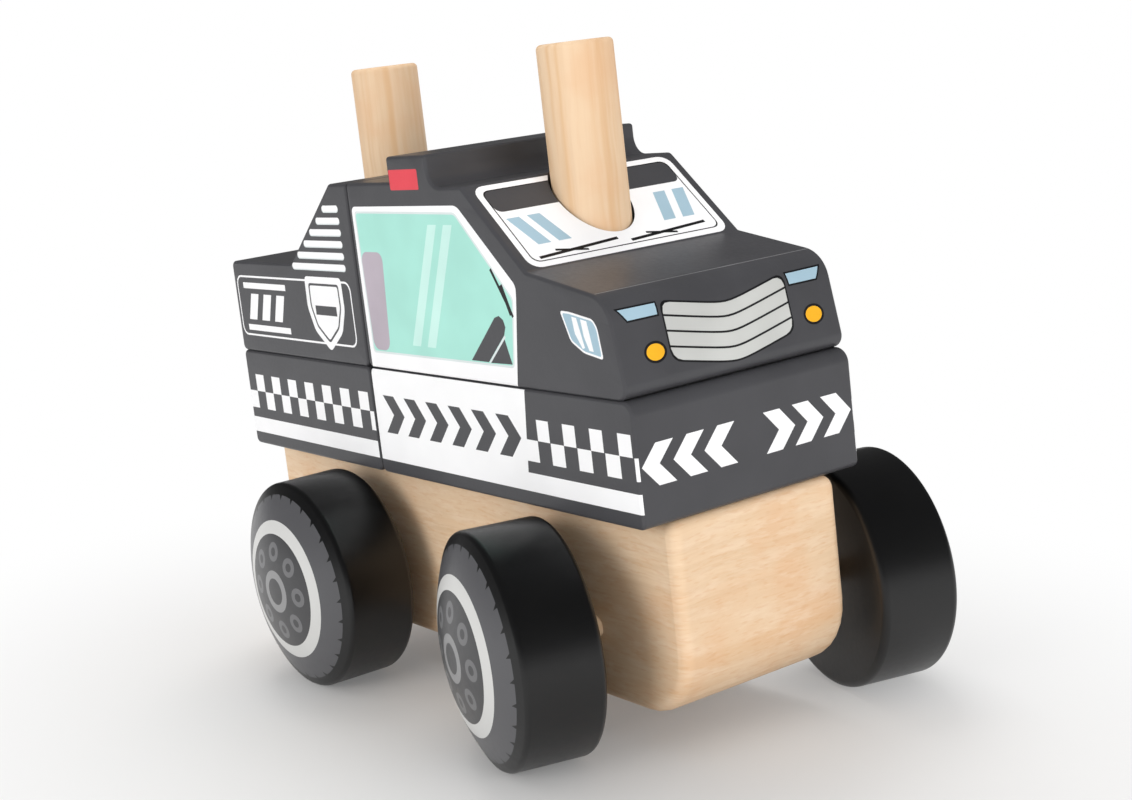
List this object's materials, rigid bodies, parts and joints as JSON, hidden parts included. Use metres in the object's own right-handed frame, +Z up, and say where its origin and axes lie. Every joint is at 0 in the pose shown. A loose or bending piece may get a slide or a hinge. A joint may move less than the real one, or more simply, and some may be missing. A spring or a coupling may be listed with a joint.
{
  "type": "toy police car",
  "caption": "Wooden stacking toy police car: painted body blocks lift off upright pegs in a natural wood base that rolls on black domed wheels.",
  "frame": {"origin": "on the floor under the middle of the whole length and width", "axes": "+X forward along the car, +Y to the car's left, +Z up"},
  "size_m": [0.1842, 0.1142, 0.1516],
  "materials": {
    "painted_wood": "dark grey satin paint with printed details",
    "natural_wood": "pale wood under clear matt lacquer",
    "black_wood": "black satin paint with a printed face"
  },
  "bodies": {
    "base": {"base_block": "natural_wood", "front_peg": "natural_wood", "rear_peg": "natural_wood"},
    "front_wheelset": {"front_axle": "natural_wood", "front_left_wheel": "black_wood", "front_right_wheel": "black_wood"},
    "rear_wheelset": {"rear_axle": "natural_wood", "rear_left_wheel": "black_wood", "rear_right_wheel": "black_wood"},
    "lower_front": {"lower_front_block": "painted_wood"},
    "lower_rear": {"lower_rear_block": "painted_wood"},
    "upper_front": {"upper_front_block": "painted_wood"},
    "upper_rear": {"upper_rear_block": "painted_wood"}
  },
  "joints": [
    {"name": "front_axle_spin", "type": "hinge", "parent": "base", "child": "front_wheelset", "pos_m": [0.05437, 0, 0.0262], "axis": [0.2504, 0.9681, 0], "continuous": true},
    {"name": "rear_axle_spin", "type": "hinge", "parent": "base", "child": "rear_wheelset", "pos_m": [-0.04113, 0, 0.0262], "axis": [0, 1, 0], "continuous": true},
    {"name": "lower_front_lift", "type": "slide", "parent": "base", "child": "lower_front", "axis": [0, 0, 1], "range_m": [0, 0.1]},
    {"name": "lower_rear_lift", "type": "slide", "parent": "base", "child": "lower_rear", "axis": [0, 0, 1], "range_m": [0, 0.1]},
    {"name": "upper_front_lift", "type": "slide", "parent": "lower_front", "child": "upper_front", "axis": [0, 0, 1], "range_m": [0, 0.075]},
    {"name": "upper_rear_lift", "type": "slide", "parent": "lower_rear", "child": "upper_rear", "axis": [0, 0, 1], "range_m": [0, 0.075]}
  ]
}
